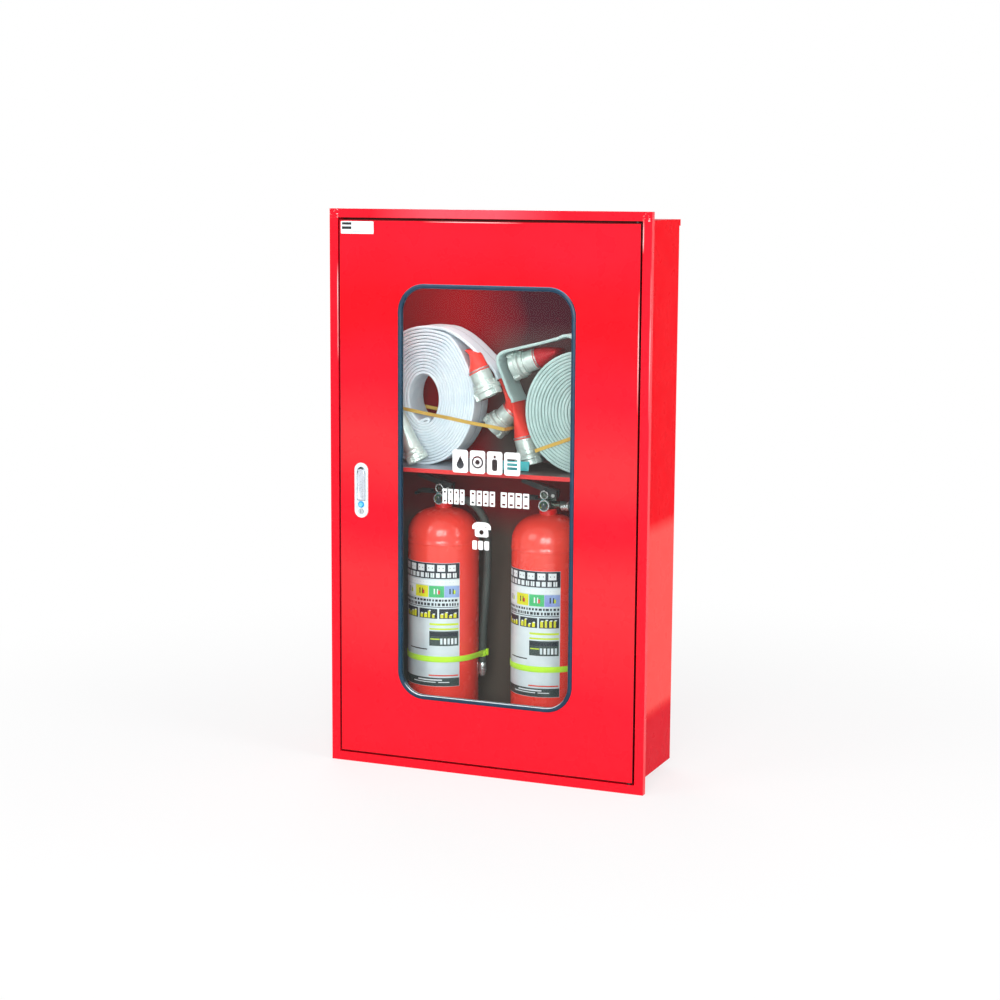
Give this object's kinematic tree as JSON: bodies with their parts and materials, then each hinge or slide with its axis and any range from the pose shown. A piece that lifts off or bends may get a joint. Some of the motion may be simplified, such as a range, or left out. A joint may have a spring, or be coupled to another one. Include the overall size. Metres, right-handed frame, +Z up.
{
  "type": "standpipe cabinet",
  "caption": "Red sheet-steel standpipe cabinet with a glazed hinged door; rolled hoses and a nozzle lie on its shelf and dry-powder extinguishers stand below.",
  "frame": {"origin": "centre of the wall bolt pattern, on the rear face of the back panel", "axes": "+Z up, +Y into the wall, the door faces -Y, +X to the hinge side"},
  "size_m": [0.6, 0.2037, 1],
  "materials": {
    "red_paint": "gloss red enamel with soft highlights",
    "shelf_paint": "satin orange-red enamel",
    "zinc_steel": "zinc plated",
    "black_plastic": "moulded, matte",
    "gasket_rubber": "extruded, satin blue-black",
    "pane_glass": "clear float glass",
    "handle_chrome": "pale plated zinc casting",
    "button_plastic": "gloss cyan-blue",
    "hose_white": "woven lay-flat jacket, off-white with dark edge lines",
    "hose_green_white": "woven lay-flat jacket, greenish white",
    "sleeve_red": "coated cloth cuff, red",
    "coupling_alloy": "cast and turned, satin",
    "tie_ochre": "flat woven band, ochre",
    "bottle_paint": "gloss orange-red enamel",
    "valve_alloy": "cast, satin",
    "gauge_chrome": "bright plated",
    "handle_black": "black powder coat",
    "spout_rubber": "black hose with a faint sheen",
    "strap_lime": "lime green strap"
  },
  "bodies": {
    "cabinet": {"body_wrap": "red_paint", "top_panel": "red_paint", "bottom_panel": "red_paint", "face_frame": "red_paint", "shelf": "shelf_paint", "shelf_brackets": "shelf_paint", "pivot_pins": "zinc_steel", "pivot_washer": "zinc_steel", "magnet_catch": "black_plastic", "hose_roll_left": "hose_white", "hose_roll_right": "hose_green_white", "hose_sleeves_left": "sleeve_red", "hose_sleeves_right": "sleeve_red", "coupling_left_upper": "coupling_alloy", "coupling_left_lower": "coupling_alloy", "coupling_right_upper": "coupling_alloy", "coupling_right_lower": "coupling_alloy", "branch_nozzle": "coupling_alloy", "roll_tie_left": "tie_ochre", "roll_tie_right": "tie_ochre", "bottle_left": "bottle_paint", "valve_left": "valve_alloy", "gauge_left": "gauge_chrome", "carry_handle_left": "handle_black", "squeeze_pivot_left": "gauge_chrome", "spout_hose_left": "spout_rubber", "spout_tip_left": "valve_alloy", "strap_left": "strap_lime", "bottle_right": "bottle_paint", "valve_right": "valve_alloy", "gauge_right": "gauge_chrome", "carry_handle_right": "handle_black", "squeeze_pivot_right": "gauge_chrome", "spout_hose_right": "spout_rubber", "spout_tip_right": "valve_alloy", "strap_right": "strap_lime"},
    "door": {"door_panel": "red_paint", "pivot_plates": "zinc_steel", "window_gasket": "gasket_rubber", "window_glass": "pane_glass", "keeper_plate": "zinc_steel", "handle_plate": "handle_chrome", "lock_clamp": "zinc_steel", "lock_screws": "zinc_steel", "lever_pin": "zinc_steel"},
    "lever": {"pull_lever": "handle_chrome"},
    "button": {"push_button": "button_plastic"},
    "lock": {"key_plug": "handle_chrome", "lock_cam": "zinc_steel", "cam_screw": "zinc_steel"},
    "squeeze_left": {"squeeze_lever_left": "handle_black"},
    "pin_left": {"safety_pin_left": "gauge_chrome"},
    "squeeze_right": {"squeeze_lever_right": "handle_black"},
    "pin_right": {"safety_pin_right": "gauge_chrome"}
  },
  "joints": [
    {"name": "door_swing", "type": "hinge", "parent": "cabinet", "child": "door", "pos_m": [0.273, -0.194, 0], "axis": [0, 0, 1], "range_deg": [0, 110]},
    {"name": "lever_pull", "type": "hinge", "parent": "door", "child": "lever", "pos_m": [-0.239, -0.199, 0.0361], "axis": [-1, 0, 0], "range_deg": [0, 40], "stiffness_Nm_per_rad": 0.02, "springref_deg": -11.46},
    {"name": "button_press", "type": "slide", "parent": "door", "child": "button", "axis": [0, 1, 0], "range_m": [0, 0.0025], "stiffness_N_per_m": 400, "springref_m": -0.001},
    {"name": "key_turn", "type": "hinge", "parent": "door", "child": "lock", "pos_m": [-0.239, -0.2, -0.0371], "axis": [0, 1, 0], "range_deg": [0, 90]},
    {"name": "squeeze_left_lever", "type": "hinge", "parent": "cabinet", "child": "squeeze_left", "pos_m": [-0.115, -0.09, -0.0028], "axis": [0, -1, 0], "range_deg": [0, 12], "stiffness_Nm_per_rad": 1.5, "springref_deg": -5.73},
    {"name": "pin_left_pull", "type": "slide", "parent": "cabinet", "child": "pin_left", "axis": [0, -1, 0], "range_m": [0, 0.04]},
    {"name": "squeeze_right_lever", "type": "hinge", "parent": "cabinet", "child": "squeeze_right", "pos_m": [0.089, -0.09, -0.0028], "axis": [0, -1, 0], "range_deg": [0, 12], "stiffness_Nm_per_rad": 1.5, "springref_deg": -5.73},
    {"name": "pin_right_pull", "type": "slide", "parent": "cabinet", "child": "pin_right", "axis": [0, -1, 0], "range_m": [0, 0.04]}
  ]
}
